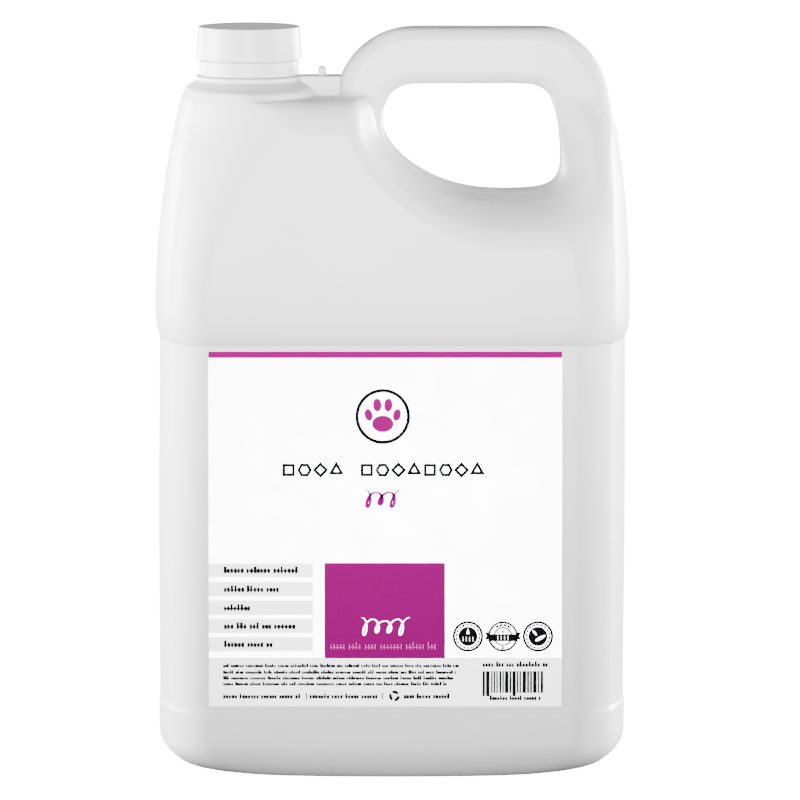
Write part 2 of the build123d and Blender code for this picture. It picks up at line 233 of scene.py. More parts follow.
class Grid:
    """A field over X and Z, tabulated at one millimetre and read back smoothly."""

    X0, Z0, NX, NZ = -112.0, 196.0, 226, 112

    def __init__(self, function):
        x = self.X0 + np.arange(self.NX)
        z = self.Z0 + np.arange(self.NZ)
        gx, gz = np.meshgrid(x, z, indexing="ij")
        self.values = function(gx, gz)

    def __call__(self, x, z):
        u = np.clip(x - self.X0, 1.0, self.NX - 3.001)
        v = np.clip(z - self.Z0, 1.0, self.NZ - 3.001)
        i, j = u.astype(int), v.astype(int)
        wu, wv = self.weights(u - i), self.weights(v - j)
        total = 0.0
        for a in range(4):
            row = 0.0
            for b in range(4):
                row = row + wv[b] * self.values[i + a - 1, j + b - 1]
            total = total + wu[a] * row
        return total

    @staticmethod
    def weights(t):
        """Cubic B-spline weights, which also smooth the table a little."""
        return (
            (1 - t) ** 3 / 6,
            (3 * t**3 - 6 * t**2 + 4) / 6,
            (-3 * t**3 + 3 * t**2 + 3 * t + 1) / 6,
            t**3 / 6,
        )


def spline(points, closed, steps=8):
    """A smooth curve through points, with slopes in proportion to the chords."""
    p = np.array(points, dtype=float)
    if closed:
        p = np.vstack([p[-1], p, p[0], p[1]])
    else:
        p = np.vstack([2 * p[0] - p[1], p, 2 * p[-1] - p[-2]])
    out = []
    for a, b, c, d in zip(p[:-3], p[1:-2], p[2:-1], p[3:]):
        before, chord, after = (np.linalg.norm(run) for run in (b - a, c - b, d - c))
        slope_b = (c - a) * chord / max(chord + before, 1e-9)
        slope_c = (d - b) * chord / max(after + chord, 1e-9)
        out += [hermite(k / steps, b, c, slope_b, slope_c) for k in range(steps)]
    if not closed:
        out.append(p[-2])
    return np.array(out)


def distance_to(x, z, line):
    """Distance to a run of straight pieces."""
    best = np.full(x.shape, 1e9)
    for (ax, az), (bx, bz) in zip(line[:-1], line[1:]):
        dx, dz = bx - ax, bz - az
        t = np.clip(((x - ax) * dx + (z - az) * dz) / (dx * dx + dz * dz + 1e-12), 0, 1)
        best = np.minimum(best, np.hypot(x - ax - t * dx, z - az - t * dz))
    return best


def inside(x, z, line):
    """Whether points lie in a closed outline."""
    hit = np.zeros(x.shape, dtype=bool)
    for (ax, az), (bx, bz) in zip(line, np.roll(line, -1, axis=0)):
        spans = (az > z) != (bz > z)
        cut = ax + (z - az) * (bx - ax) / (bz - az if bz != az else 1e-12)
        hit ^= spans & (x < cut)
    return hit


def closed_field(points):
    """Signed distance to a closed outline, negative inside."""
    line = spline(points, closed=True)

    def field(x, z):
        distance = distance_to(x, z, np.vstack([line, line[:1]]))
        return np.where(inside(x, z, line), -distance, distance)

    return field


def open_field(points):
    """Signed distance to a curve from the top left to the right, negative above it."""
    run = spline(points, closed=False)
    first, last = run[0] + (0.0, 200.0), run[-1] + (200.0, 0.0)
    line = np.vstack([first, run, last])
    above = np.vstack([line, (last[0], first[1])])

    def field(x, z):
        distance = distance_to(x, z, line)
        return np.where(inside(x, z, above), -distance, distance)

    return field


# ---------------- the bottle's form

SECTION = Table(SIDE_ROWS)
GRIP_FIELD = Grid(closed_field(GRIP))
HANDLE_FIELD = Grid(closed_field(HANDLE))


def scoop_width(x, z):
    """Half thickness that the scoops leave at X, Z: the handle's, growing to the body's."""
    inner, outer = open_field(SCOOP_INNER)(x, z), open_field(SCOOP_OUTER)(x, z)
    t = np.clip(inner / np.maximum(inner - outer, 1.0), -1.0, 4.0)
    soft = SCOOP_SOFT + SCOOP_SOFT_GAIN * smooth_step(*SCOOP_SOFT_SPAN, x)
    t = 0.5 * (t + np.sqrt(t * t + soft * soft))
    eased = t + SCOOP_EASE * np.where(t < 1.0, t * (1.0 - t), 1.0 - t)
    return HANDLE_HALF + SCOOP_DEPTH * eased


SCOOP_WIDTH = Grid(scoop_width)
SCOOP_SLOPE = Grid(lambda x, z: np.hypot(*np.gradient(scoop_width(x, z))))


def heel(z):
    """How far the heel draws the plan in, from 1 at the floor to 0 at its top."""
    t = np.clip(1.0 - z / HEEL_HEIGHT, 0.0, 1.0)
    return 1.0 - np.sqrt(np.maximum(1.0 - t * t, 0.0))


def bulged(distance, bulge, share, half):
    """Distance to a side that falls back by its bulge from the middle to its ends."""
    return (distance + bulge * share * share) / np.sqrt(1 + (2 * bulge * share / half) ** 2)


def plan(x, y, z):
    """The body's plan at each height, negative inside."""
    left, right, depth, left_bulge, right_bulge, corner = SECTION(z)
    draw = heel(z)
    left, right = left + HEEL_INSET_X * draw, right - HEEL_INSET_X * draw
    depth, corner = depth - HEEL_INSET_Y * draw, corner + HEEL_CORNER * draw
    middle, half = (left + right) / 2, (right - left) / 2
    u, v = (x - middle) / half, np.clip(y / depth, -1.3, 1.3)
    face = bulged(np.abs(y) - depth, HEEL_BULGE * draw, u, half)
    end_right = bulged(x - right, right_bulge, v, depth)
    end_left = bulged(left - x, left_bulge, v, depth)
    return round_corner(face, np.maximum(end_left, end_right), corner)


def cone_height(x, y):
    """Height of the roof round the neck, from the oval's ridge up to the collar."""
    dx = x - NECK_X
    radius = np.maximum(np.hypot(dx, y), 1e-6)
    ridge = radius / np.sqrt((dx / OVAL_X) ** 2 + (y / OVAL_Y) ** 2)
    share = np.clip((radius - CONE_RADIUS) / (ridge - CONE_RADIUS), 0.0, 3.0)
    return CONE_HEIGHT - (CONE_HEIGHT - OVAL_HEIGHT) * share


def platform(x, y, z):
    """The raised oval that carries the neck, negative inside."""
    spread = PLATFORM_SLOPE * np.maximum(OVAL_HEIGHT - z, 0.0)
    ax, ay = OVAL_X + spread, OVAL_Y + spread
    dx = x - NECK_X
    q = np.maximum(np.sqrt((dx / ax) ** 2 + (y / ay) ** 2), 1e-6)
    slope = np.maximum(np.hypot(dx / ax**2, y / ay**2) / q, 1e-6)
    oval = (q - 1.0) / slope
    oval = smooth_max(oval, (z - cone_height(x, y)) * CONE_COSINE, OVAL_BLEND)
    sink = PLATFORM_SINK * (1.0 - smooth_step(PLATFORM_FADE, ROOF_HEIGHT, z))
    return smooth_max(oval, plan(x, y, z), PLATFORM_BLEND) + sink


def upper_form(x, y, z):
    """Everything above the seam, apart from the neck finish. Negative inside."""
    roll = ROOF_ROLL + ROOF_ROLL_GAIN * smooth_step(*ROOF_ROLL_SPAN, x)
    body = smooth_max(plan(x, y, z), z - ROOF_HEIGHT, roll)
    body = smooth_min(body, platform(x, y, z), ROOF_BLEND)
    width, slope = SCOOP_WIDTH(x, z), SCOOP_SLOPE(x, z)
    scooped = (np.abs(y) - width) / np.sqrt(1.0 + slope * slope)
    grip = GRIP_FIELD(x, z)
    edge = SCOOP_EDGE + SCOOP_EDGE_GAIN * smooth_step(*SCOOP_EDGE_SPAN, x)
    body = smooth_max(body, round_corner(scooped, -grip, SCOOP_ROUND), edge)
    side = smooth_max(HANDLE_FIELD(x, z), -grip, GRIP_BLEND)
    handle = round_corner(np.abs(y) - HANDLE_HALF, side, HANDLE_ROUND)
    return smooth_min(body, handle, HANDLE_BLEND)


def gradient(function, p, step=0.05):
    """Gradient of a field at points, by central differences."""
    parts = []
    for axis in range(3):
        shift = np.zeros(3)
        shift[axis] = step
        parts.append(function(*(p + shift).T) - function(*(p - shift).T))
    return np.stack(parts, axis=1) / (2 * step)


def settle(function, p, rounds=4, flat=False):
    """Moves points onto a field's surface; flat keeps their heights."""
    for _ in range(rounds):
        g = gradient(function, p)
        if flat:
            g[:, 2] = 0.0
        pull = function(*p.T) / np.maximum((g * g).sum(axis=1), 1e-6)
        p = p - np.clip(pull, -2.0, 2.0)[:, None] * g
    return p


# ---------------- mesh building

class Builder:
    """Collects points and faces from rings, patches and fans."""

    def __init__(self):
        self.points = []
        self.faces = []
        self.count = 0

    def add(self, points):
        """Adds points and returns their numbers."""
        points = np.asarray(points, dtype=float)
        self.points.append(points)
        start = self.count
        self.count += len(points)
        return np.arange(start, self.count)

    def bridge(self, a, b):
        """Quads between two rings of the same count, going the same way round."""
        for i in range(len(a)):
            j = (i + 1) % len(a)
            self.faces.append((a[i], a[j], b[j], b[i]))

    def stitch(self, a, angle_a, b, angle_b):
        """Triangles between two rings of different counts, matched by angle."""
        order_a, order_b = np.argsort(angle_a), np.argsort(angle_b)
        a, angle_a = a[order_a], angle_a[order_a]
        b, angle_b = b[order_b], angle_b[order_b]
        i = j = 0
        while i < len(a) or j < len(b):
            next_a = angle_a[(i + 1) % len(a)] + (2 * math.pi if i + 1 >= len(a) else 0)
            next_b = angle_b[(j + 1) % len(b)] + (2 * math.pi if j + 1 >= len(b) else 0)
            take_a = j >= len(b) or (i < len(a) and next_a <= next_b)
            here_a, here_b = a[i % len(a)], b[j % len(b)]
            if take_a:
                self.faces.append((here_a, a[(i + 1) % len(a)], here_b))
                i += 1
            else:
                self.faces.append((here_a, b[(j + 1) % len(b)], here_b))
                j += 1

    def fan(self, ring, centre):
        """Triangles from a ring to one point."""
        tip = self.add([centre])[0]
        for i in range(len(ring)):
            self.faces.append((ring[i], ring[(i + 1) % len(ring)], tip))


def make_object(name, points, faces, normals=None):
    """A mesh object in metres from millimetre points; flat unless it has normals."""
    mesh = bpy.data.meshes.new(name)
    mesh.from_pydata((np.asarray(points) * MM).tolist(), [], [list(map(int, f)) for f in faces])
    mesh.validate()
    if normals is not None:
        mesh.shade_smooth()
        mesh.normals_split_custom_set_from_vertices(normals)
    obj = bpy.data.objects.new(name, mesh)
    bpy.context.scene.collection.objects.link(obj)
    return obj


def compact(points, quads):
    """Only the points that the faces use, renumbered."""
    used = np.unique(quads)
    renumber = np.full(len(points), -1)
    renumber[used] = np.arange(len(used))
    return points[used], renumber[quads]


def level_set(size):
    """Shoulder, scoops and handle as quads on the exact form, from the seam up."""
    low = np.array([*GRID_CORNER, SEAM_HEIGHT - GRID_UNDER * size])
    axes = [start + size * np.arange(int(span / size)) for start, span in zip(low, GRID_SPAN)]
    field = np.clip(upper_form(*np.meshgrid(*axes, indexing="ij")), -FIELD_LIMIT, FIELD_LIMIT)
    grid = openvdb.FloatGrid(FIELD_LIMIT)
    grid.copyFromArray(field.astype(np.float32))
    points, quads = grid.convertToQuads(isovalue=0.0)
    quads = quads.astype(int)
    quads = quads[points[quads][:, :, 2].min(axis=1) >= GRID_UNDER]
    points, quads = compact(low + size * points.astype(float), quads)
    return settle(upper_form, points), quads


def oriented(points, quads):
    """Faces turned so that their normals point out of the form."""
    a, b, c, d = (points[quads[:, k]] for k in range(4))
    normal = np.cross(c - a, d - b)
    centre = (a + b + c + d) / 4
    outward = gradient(upper_form, centre)
    wrong = (normal * outward).sum(axis=1).mean() < 0
    return quads[:, ::-1] if wrong else quads


def angle_about(points, x=0.0):
    """Angle of each point about the upright axis at X."""
    return np.arctan2(points[:, 1], points[:, 0] - x)


def boundary_loops(quads):
    """Open edges of a patch, chained into loops that run against the patch's faces."""
    edges = np.concatenate([quads[:, [k, (k + 1) % 4]] for k in range(4)])
    key = np.sort(edges, axis=1)
    _, index, counts = np.unique(key, axis=0, return_index=True, return_counts=True)
    after = {int(b): int(a) for a, b in edges[index[counts == 1]]}
    loops = []
    while after:
        start, here = next(iter(after.items()))
        loop = [start]
        del after[start]
        while here != start:
            loop.append(here)
            here = after.pop(here)
        loops.append(np.array(loop))
    return loops


def upper_patch(size):
    """The level set, trimmed at the seam below and round the neck's collar."""
    points, quads = level_set(size)
    quads = oriented(points, quads)
    centre = points[quads].mean(axis=1)
    around = np.hypot(centre[:, 0] - NECK_X, centre[:, 1])
    keep = (around > COLLAR_RADIUS) | (centre[:, 2] < COLLAR_FLOOR)
    points, quads = compact(points, quads[keep])
    loops = sorted(boundary_loops(quads), key=lambda n: points[n][:, 2].mean())
    foot, collar = loops[0], loops[-1]
    points[foot, 2] = SEAM_HEIGHT
    points[foot] = settle(plan, points[foot], flat=True)
    angle = angle_about(points[collar], NECK_X)
    points[collar, 0] = NECK_X + COLLAR_RADIUS * np.cos(angle)
    points[collar, 1] = COLLAR_RADIUS * np.sin(angle)
    points[collar, 2] = cone_height(points[collar, 0], points[collar, 1])
    return points, quads, foot, collar


def plan_rays(count):
    """Evenly spaced rays from a rounded rectangle, outward through every section."""
    half_x, half_y, radius = 92.0, 48.0, 27.0
    straight = [2 * (half_x - radius), 2 * (half_y - radius)]
    arc = math.pi / 2 * radius
    total = 2 * sum(straight) + 4 * arc
    corners = [(1, -1, -90), (1, 1, 0), (-1, 1, 90), (-1, -1, 180)]
    starts, ways = [], []
    for k in range(count):
        s = total * k / count
        for side, (sx, sy, angle) in enumerate(corners):
            s -= straight[side % 2]
            if s < arc:
                break
            s -= arc
        a = math.radians(angle) + max(s, 0.0) / radius
        nx, ny = math.cos(a), math.sin(a)
        cx, cy, back = sx * (half_x - radius), sy * (half_y - radius), max(-s, 0.0)
        starts.append((cx + nx * radius + ny * back, cy + ny * radius - nx * back))
        ways.append((nx, ny))
    return np.array(starts), np.array(ways)


def section_ring(z, rays, rounds=12, step=0.05, least_slope=0.3):
    """The body's section at one height, one point on each ray."""
    starts, ways = rays
    reach = np.zeros(len(starts))
    height = np.full(len(starts), z)

    def depth(far):
        x, y = (starts + far[:, None] * ways).T
        return plan(x, y, height)

    for _ in range(rounds):
        here = depth(reach)
        slope = (depth(reach + step) - here) / step
        reach -= here / np.maximum(slope, least_slope)
    return np.column_stack([starts + reach[:, None] * ways, height])


def side_heights():
    """Heights of the rings from the floor to the seam."""
    heel_angles = np.radians([0, 8, 16, 24, 32, 40, 48, 56, 64, 73, 81, 90])
    heights = list(HEEL_HEIGHT * (1 - np.cos(heel_angles)))
    heights += [18.0, 22.0, 25.6, 26.1, 26.5, 26.9, 27.2, 27.5, 27.8, 28.05, 28.3, 28.55, 28.8]
    heights += [31.0, 40.0] + list(np.arange(52.0, 170.0, 12.0)) + [169.0, 172.2]
    heights += [172.9, 173.15, 173.3, 173.45, 173.6, 173.8, 174.1, 174.4, 174.8, 175.5]
    heights += [176.5, 177.9, 179.8, 182.0, 185.0, 188.5, 192.0, 196.0, 200.0, 204.0, 207.5]
    return heights


def thread_rise(angle, z):
    """How far the right-hand thread stands out of the neck."""
    rise = np.zeros_like(z)
    end = 2 * math.pi * THREAD_TURNS
    for turn in range(2):
        travel = angle + 2 * math.pi * turn
        centre = THREAD_START + THREAD_PITCH * travel / (2 * math.pi)
        ridge = smooth_step(0.0, THREAD_FLANK, THREAD_HALF - np.abs(z - centre))
        fade = smooth_step(0.0, THREAD_FADE, travel) * smooth_step(0.0, THREAD_FADE, end - travel)
        rise = np.maximum(rise, ridge * fade)
    return rise * (THREAD_CREST - THREAD_ROOT)


def turned_ring(radius, z, angles):
    """A ring about the neck's axis; its radius may vary with the angle."""
    x, y = NECK_X + radius * np.cos(angles), radius * np.sin(angles)
    return np.column_stack([x, y, z * np.ones_like(angles)])


def cavity_ring(z, angles, start=14.0, step=2.0, strides=80, halvings=8):
    """A ring of the bottle's inside: out from the neck's axis to just under the skin."""
    form = upper_form if z > SEAM_HEIGHT else plan

    def under(radius):
        return form(*turned_ring(radius, z, angles).T) < -WALL

    low = np.full_like(angles, start)
    going = np.ones(len(angles), dtype=bool)
    for _ in range(strides):
        going &= under(low + step)
        low = np.where(going, low + step, low)
    high = low + step
    for _ in range(halvings):
        middle = (low + high) / 2
        free = under(middle)
        low, high = np.where(free, middle, low), np.where(free, high, middle)
    return turned_ring(low, z, angles)


def rounded_block(b, centre, half, radius, steps=5, steepest=80):
    """Adds a closed block with rounded edges to the moulding."""
    core = [length - radius for length in half]
    corners = [(1, 1), (-1, 1), (-1, -1), (1, -1)]
    last = None
    for side in (-1, 1):
        ends = min(side, 0) * steepest, max(side, 0) * steepest
        for tilt in np.radians(np.linspace(*ends, steps)):
            points = []
            for turn, (sx, sy) in enumerate(corners):
                for a in np.radians(90 * turn + np.linspace(0, 90, steps)):
                    reach = radius * math.cos(tilt)
                    x = centre[0] + sx * core[0] + reach * math.cos(a)
                    y = centre[1] + sy * core[1] + reach * math.sin(a)
                    points.append((x, y, centre[2] + side * core[2] + radius * math.sin(tilt)))
            ring = b.add(points)
            if last is None:
                b.fan(ring[::-1], (centre[0], centre[1], centre[2] - half[2]))
            else:
                b.bridge(last, ring)
            last = ring
    b.fan(last, (centre[0], centre[1], centre[2] + half[2]))


def add_base(b, lowest):
    """The base with its push-up, inward from the lowest ring of the side."""
    floor, last = b.points[0], lowest
    for share, z in BASE_RINGS:
        ring = b.add(np.column_stack([floor[:, :2] * share, np.full(len(floor), z)]))
        b.bridge(ring, last)
        last = ring
    b.fan(last[::-1], (0.0, 0.0, BASE_RINGS[-1][1]))


def neck_rings(angles):
    """Rings up the outside of the neck, down its bore and down the bottle's inside."""
    rings = [turned_ring(radius, z, angles) for radius, z in NECK_OUTSIDE]
    for z in np.linspace(THREAD_LOW, THREAD_HIGH, THREAD_ROWS):
        radius = THREAD_ROOT + thread_rise(angles, np.full_like(angles, z))
        rings.append(turned_ring(radius, z, angles))
    rings += [turned_ring(radius, z, angles) for radius, z in NECK_RIM]
    rings += [cavity_ring(z, angles) for z in CAVITY]
    lowest = rings[-1]
    for share, z in CAVITY_FLOOR:
        rings.append(np.column_stack([lowest[:, :2] * share, np.full(len(lowest), z)]))
    return rings


def add_neck(b, collar, collar_angles):
    """The neck and the whole inside, from the level set's collar."""
    angles = 2 * math.pi * np.arange(NECK_COLUMNS) / NECK_COLUMNS
    foot = turned_ring(NECK_FOOT_RADIUS, 0.0, angles)
    foot[:, 2] = cone_height(foot[:, 0], foot[:, 1])
    ring = b.add(foot)
    b.stitch(collar, collar_angles % (2 * math.pi), ring, angles)
    for points in neck_rings(angles):
        following = b.add(points)
        b.bridge(ring, following)
        ring = following
    b.fan(ring, (0.0, 0.0, CAVITY_FLOOR[-1][1]))


def build_bottle(size):
    """The whole blow moulding as one closed mesh with an open neck."""
    b = Builder()
    rays = plan_rays(COLUMNS)
    sides = [b.add(section_ring(z, rays)) for z in side_heights()]
    for low, high in zip(sides[:-1], sides[1:]):
        b.bridge(low, high)
    top = angle_about(b.points[-1])
    add_base(b, sides[0])
    points, quads, foot, collar = upper_patch(size)
    patch = b.add(points)
    b.faces.extend(patch[quads].tolist())
    b.stitch(sides[-1], top, patch[foot], angle_about(points[foot]))
    add_neck(b, patch[collar], angle_about(points[collar], NECK_X))
    rounded_block(b, *WEB)
    rounded_block(b, *LUG)
    everything = np.vstack(b.points)
    normals = bottle_normals(everything, b.faces, patch)
    return make_object("bottle_moulding", everything, b.faces, normals)


def bottle_normals(points, faces, patch):
    """Smooth normals from the faces, and the form's own normals on the level set."""
    total = np.zeros_like(points)
    for size in (3, 4):
        some = np.array([f for f in faces if len(f) == size])
        a, b, c, last = (points[some[:, k]] for k in (0, 1, 2, size - 1))
        normal = np.cross(c - a, last - b) if size == 4 else np.cross(b - a, c - a)
        for k in range(size):
            np.add.at(total, some[:, k], normal)
    total[patch] = gradient(upper_form, points[patch])
    return total / np.maximum(np.linalg.norm(total, axis=1, keepdims=True), 1e-9)


# ---------------- label artwork

LABEL_LEFT, LABEL_TOP, LABEL_FACE = -72.6, 171.1, -48.12
LABEL_SIDE = 140.0  # the artwork's grid, in label millimetres
LABEL_STRETCH = (0.997, 1.0107)  # film size over that grid
INK, INK_BITE = 0.03, 0.008  # thickness of a layer, and how far it sits in the one below

# A pen line: powers of its widening and its taper, the angle left off its ends, and the
# points in one loop
PEN_WIDENING, PEN_TAPER, PEN_END, LOOP_POINTS = 1.5, 0.35, 0.12, 26
# Wordless print, in shares of its height: ticks, the cross bar's foot and the word gap
TICK_RISES = (0.66, 0.7, 0.66, 0.72, 1.0)
TICK_BAR_FOOT, TICK_WORD_GAP = 0.22, 0.6


def polar(u, v, radius, degrees):
    """The point at a radius and angle from a centre."""
    a = math.radians(degrees)
    return u + radius * math.cos(a), v + radius * math.sin(a)


class Ink:
    """Printed shapes in label millimetres (u right, v down), as thin closed prisms."""

    def __init__(self):
        self.points = []
        self.faces = []

    def strip(self, left, right, layer=0, closed=False):
        """A band between two runs of points; closed joins its ends."""
        n = len(left)
        start = len(self.points)
        back = LABEL_FACE - INK * layer + INK_BITE
        front = LABEL_FACE - INK * (layer + 1)
        for y in (front, back):
            for run in (left, right):
                for u, v in run:
                    x = LABEL_LEFT + u * LABEL_STRETCH[0]
                    self.points.append((x, y, LABEL_TOP - v * LABEL_STRETCH[1]))
        fl, fr, bl, br = (start + k * n for k in range(4))
        for i in range(n if closed else n - 1):
            j = (i + 1) % n
            self.faces.append((fl + i, fl + j, fr + j, fr + i))
            self.faces.append((bl + i, br + i, br + j, bl + j))
            self.faces.append((fl + i, bl + i, bl + j, fl + j))
            self.faces.append((fr + i, fr + j, br + j, br + i))
        if not closed:
            self.faces.append((fl, fr, br, bl))
            self.faces.append((fl + n - 1, bl + n - 1, br + n - 1, fr + n - 1))

    def box(self, u0, v0, u1, v1, layer=0):
        """An upright rectangle."""
        self.strip([(u0, v0), (u1, v0)], [(u0, v1), (u1, v1)], layer)

    def ring(self, u, v, outer, inner, layer=0, start=0.0, end=360.0, steps=48):
        """A ring, or part of one, by its outer and inner radii."""
        whole = end - start >= 360.0
        count = steps if whole else steps + 1
        angles = [start + (end - start) * k / steps for k in range(count)]
        runs = [[polar(u, v, r, angle) for angle in angles] for r in (outer, inner)]
        self.strip(runs[0], runs[1], layer, closed=whole)

    def oval(self, u, v, half_u, half_v, tilt=0.0, layer=0, steps=16, cut=0.02):
        """A filled oval, cut off just before its tips; the tilt is in degrees."""
        c, s = math.cos(math.radians(tilt)), math.sin(math.radians(tilt))
        runs = ([], [])
        for k in range(steps + 1):
            a = math.pi * (cut + (1 - 2 * cut) * k / steps)
            for run, sign in zip(runs, (-1, 1)):
                x, y = -half_u * math.cos(a), sign * half_v * math.sin(a)
                run.append((u + c * x - s * y, v + s * x + c * y))
        self.strip(runs[0], runs[1], layer)

    def stroke(self, line, wide, thin, layer=0):
        """A pen line: wide where it runs down the label, thin across it."""
        line = np.array(line, dtype=float)
        along = np.gradient(line, axis=0)
        along /= np.maximum(np.linalg.norm(along, axis=1, keepdims=True), 1e-9)
        half = (thin + (wide - thin) * np.abs(along[:, 1]) ** PEN_WIDENING) / 2
        taper = np.sin(np.linspace(PEN_END, math.pi - PEN_END, len(line))) ** PEN_TAPER
        across = np.column_stack([along[:, 1], -along[:, 0]]) * (half * taper)[:, None]
        self.strip((line + across).tolist(), (line - across).tolist(), layer)

    def outline(self, u, v, radius, sides, turn, width):
        """An open regular polygon drawn with a line."""
        inner = radius - width / math.cos(math.pi / sides)
        angles = [turn + 360.0 * k / sides for k in range(sides)]
        runs = [[polar(u, v, r, angle) for angle in angles] for r in (radius, inner)]
        self.strip(runs[0], runs[1], closed=True)

    def star(self, u, v, radius, waist=0.42, gap=0.02):
        """A small five-pointed star; the waist is a share of its radius."""
        for angle in range(-90, 270, 72):
            sides = [polar(u, v, waist * radius, angle + turn) for turn in (-36, 36)]
            near, close = polar(u, v, gap, angle), polar(u, v, radius - gap, angle)
            tip = polar(u, v, radius, angle)
            self.strip([near, sides[0], close], [near, sides[1], tip])

    def ticks(self, u0, u1, base, height, seed, layer=0, pitch=0.52, width=0.38, bar=0.23):
        """Wordless print: ticks in groups; pitch, width and bar are shares of height."""
        rng = random.Random(seed)
        pitch, width = pitch * height, width * height
        u = u0
        while u < u1 - pitch:
            end = min(u + rng.randint(3, 8) * pitch, u1)
            first = u
            while u < end - 0.5 * pitch:
                rise = height * rng.choice(TICK_RISES)
                self.box(u, base - rise, u + width * rng.uniform(0.85, 1.2), base, layer)
                u += pitch * rng.uniform(0.9, 1.1)
            last, foot = u - pitch + width, base - TICK_BAR_FOOT * height
            self.box(first, foot - bar * height, last, foot, layer)
            u += TICK_WORD_GAP * pitch

    def build(self, name, material):
        """Makes the shapes one piece on the bottle's body."""
        obj = make_object(name, self.points, self.faces)
        obj.data.materials.append(material)
        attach(obj, "bottle")


def wave(u0, u1, v, height, loops):
    """The line of a joined-up flourish: slanted loops, smallest in the middle."""
    line = []
    for t in np.linspace(0.0, 1.0, loops * LOOP_POINTS + 1):
        a = 2 * math.pi * loops * t
        size = height * (0.5 + 0.12 * math.cos(2 * math.pi * t))
        u = u0 + (u1 - u0) * t + 0.28 * height * math.sin(a) + 0.2 * size * math.cos(a)
        line.append((u, v - size * math.cos(a)))
    return line


def draw_emblem(black, magenta):
    """A plain paw print in a thin ring."""
    u, v = 69.0, 25.5
    black.ring(u, v, 10.9, 9.5, steps=72)
    magenta.oval(u, v + 2.9, 4.3, 3.3)
    for side in (-1, 1):
        magenta.oval(u + side * 5.6, v - 0.6, 1.6, 2.4, 14 * side)
        magenta.oval(u + side * 2.2, v - 4.5, 1.7, 2.6, 4 * side)


# Square, hexagon, diamond and triangle: radius, sides and turn in degrees
SHAPES = [(3.5, 4, 45), (2.95, 6, 0), (3.15, 4, 0), (3.6, 3, -90)]


def draw_titles(black, magenta):
    """Two runs of plain outlines in one row, and a flourish below them."""
    for u0, count, pitch in ((31.7, 4, 6.3), (62.7, 8, 6.25)):
        for k in range(count):
            radius, sides, turn = SHAPES[(k + count) % 4]
            black.outline(u0 + k * pitch, 46.6, radius, sides, turn, 1.15)
    magenta.stroke(wave(61.2, 75.6, 58.0, 6.0, 3), 1.5, 0.7)


def draw_claims(black, grey):
    """Five grey strips, each with a run of ticks."""
    rows = ((83.5, 88.9, 35.2), (90.8, 96.4, 28.9), (98.1, 103.8, 18.2),
            (105.4, 111.0, 35.0), (112.6, 118.2, 25.6))
    for k, (top, foot, end) in enumerate(rows):
        grey.box(0.0, top, 41.3, foot)
        black.ticks(5.9, end, foot - 1.6, 2.7, 40 + k, layer=1)


def draw_block(magenta, white, pink):
    """The coloured block with its flourish and line of ticks."""
    magenta.box(45.8, 83.2, 93.75, 121.0)
    white.stroke(wave(59.8, 79.0, 108.4, 5.8, 4), 0.75, 0.3, layer=1)
    pink.ticks(48.2, 92.0, 117.4, 2.9, 60, layer=1, pitch=0.46, width=0.11, bar=0.07)


def draw_icons(black, white, grey):
    """Three round marks: a drop over four bars, a ribbon with stars, and two leaves."""
    v = 112.3
    for u in (102.8, 130.6):
        black.ring(u, v, 6.1, 5.15)
        black.oval(u, v, 3.8, 3.8, steps=28)
        for k in range(18):
            black.ring(u, v, 4.95, 4.25, start=20 * k, end=20 * k + 15, steps=3)
    white.oval(102.8, v - 1.5, 0.55, 0.55, layer=1)
    white.strip([(102.4, v - 1.8), (102.77, v - 3.1)], [(103.2, v - 1.8), (102.83, v - 3.1)], 1)
    for k in range(4):
        grey.box(100.7 + 1.3 * k, v + 0.2, 101.0 + 1.3 * k, v + 1.9, layer=1)
    white.oval(131.5, v + 0.7, 2.2, 0.6, -28, layer=1)
    white.oval(129.3, v - 1.4, 1.2, 0.4, 48, layer=1)
    draw_ribbon(black, grey, 116.7, v)


def draw_ribbon(black, grey, u, v):
    """A ring with blocks along its top, crossed by a ribbon with bars, and four stars."""
    black.ring(u, v, 6.0, 5.15)
    black.ring(u, v, 3.8, 3.15)
    for k in range(4):
        black.ring(u, v, 4.95, 4.05, start=20 * k - 128, end=20 * k - 111, steps=3)
    black.star(u, v - 1.95, 1.15)
    black.star(u, v + 4.5, 1.1)
    black.box(u - 5.9, v - 0.9, u + 5.9, v + 1.9, layer=1)
    for side in (-1, 1):
        root, notch, tip = u + 5.5 * side, u + 6.4 * side, u + 7.3 * side
        black.strip([(root, v - 1.6), (root, v - 0.2)], [(tip, v - 1.6), (notch, v - 0.2)], 1)
        black.strip([(root, v - 0.2), (root, v + 1.2)], [(notch, v - 0.2), (tip, v + 1.2)], 1)
        black.star(u + 2.0 * side, v - 1.7, 0.7)
    for k in range(4):
        grey.box(u - 2.2 + 1.35 * k, v - 0.3, u - 1.9 + 1.35 * k, v + 1.3, layer=2)


